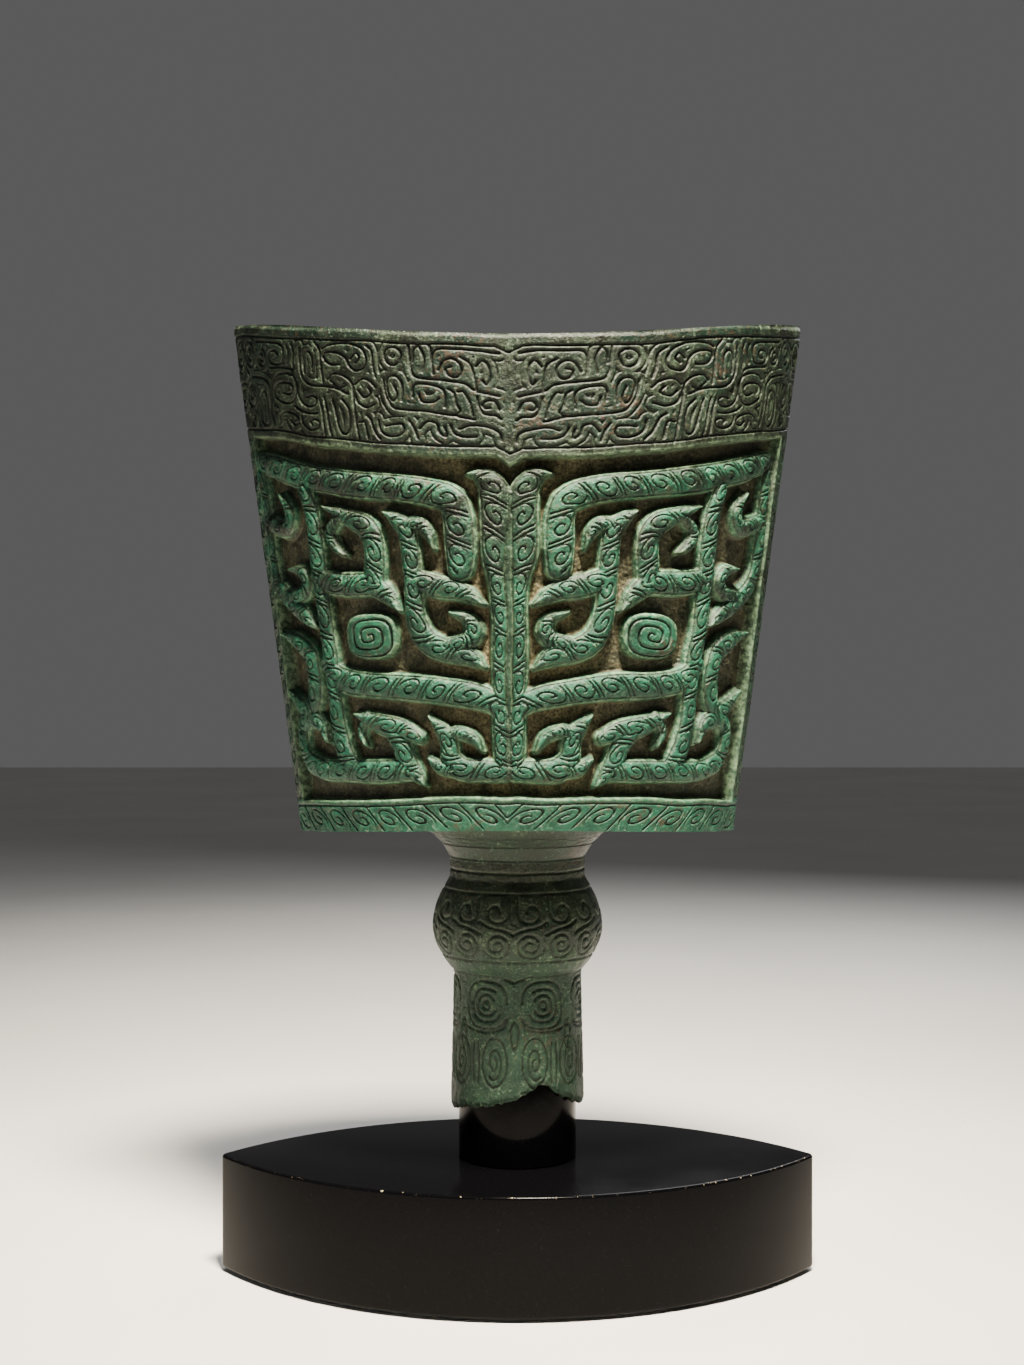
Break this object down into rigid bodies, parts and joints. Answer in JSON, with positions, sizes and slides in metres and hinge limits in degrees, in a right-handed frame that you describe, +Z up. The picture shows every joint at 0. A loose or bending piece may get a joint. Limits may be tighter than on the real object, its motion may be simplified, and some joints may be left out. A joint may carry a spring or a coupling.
{
  "type": "ritual bell",
  "caption": "Mouth-up clapperless bronze bell with a lens-shaped chamber and animal-mask relief, its hollow shank slipped over the post of a lens-shaped lacquered stand.",
  "frame": {"origin": "middle of the stand's underside, on the surface it rests on", "axes": "+Z up along the shank to the mouth, +X along the long way of the lens, the pictured face towards -Y"},
  "size_m": [0.336, 0.215, 0.537],
  "materials": {
    "bronze": "cast bronze under a green patina with earth in the recesses",
    "lacquer": "gloss black lacquer",
    "baize": "napped black baize",
    "felt": "pressed grey felt",
    "steel": "zinc plated",
    "insert_brass": "turned",
    "dowel_wood": "fluted beech"
  },
  "bodies": {
    "stand": {"plinth": "lacquer", "post": "lacquer", "baize_pad": "baize", "threaded_insert": "insert_brass", "post_bolt": "steel", "bolt_washer": "steel", "dowel_left": "dowel_wood", "dowel_right": "dowel_wood"},
    "liner": {"felt_sleeve": "felt", "felt_seat_disc": "felt"},
    "bell": {"bell_chamber": "bronze", "bell_shank": "bronze"}
  },
  "joints": [
    {"name": "bell_turn", "type": "hinge", "parent": "stand", "child": "liner", "pos_m": [0, 0, 0.18], "axis": [0, 0, 1], "continuous": true},
    {"name": "bell_lift", "type": "slide", "parent": "liner", "child": "bell", "axis": [0, 0, 1], "range_m": [0, 0.17]}
  ]
}
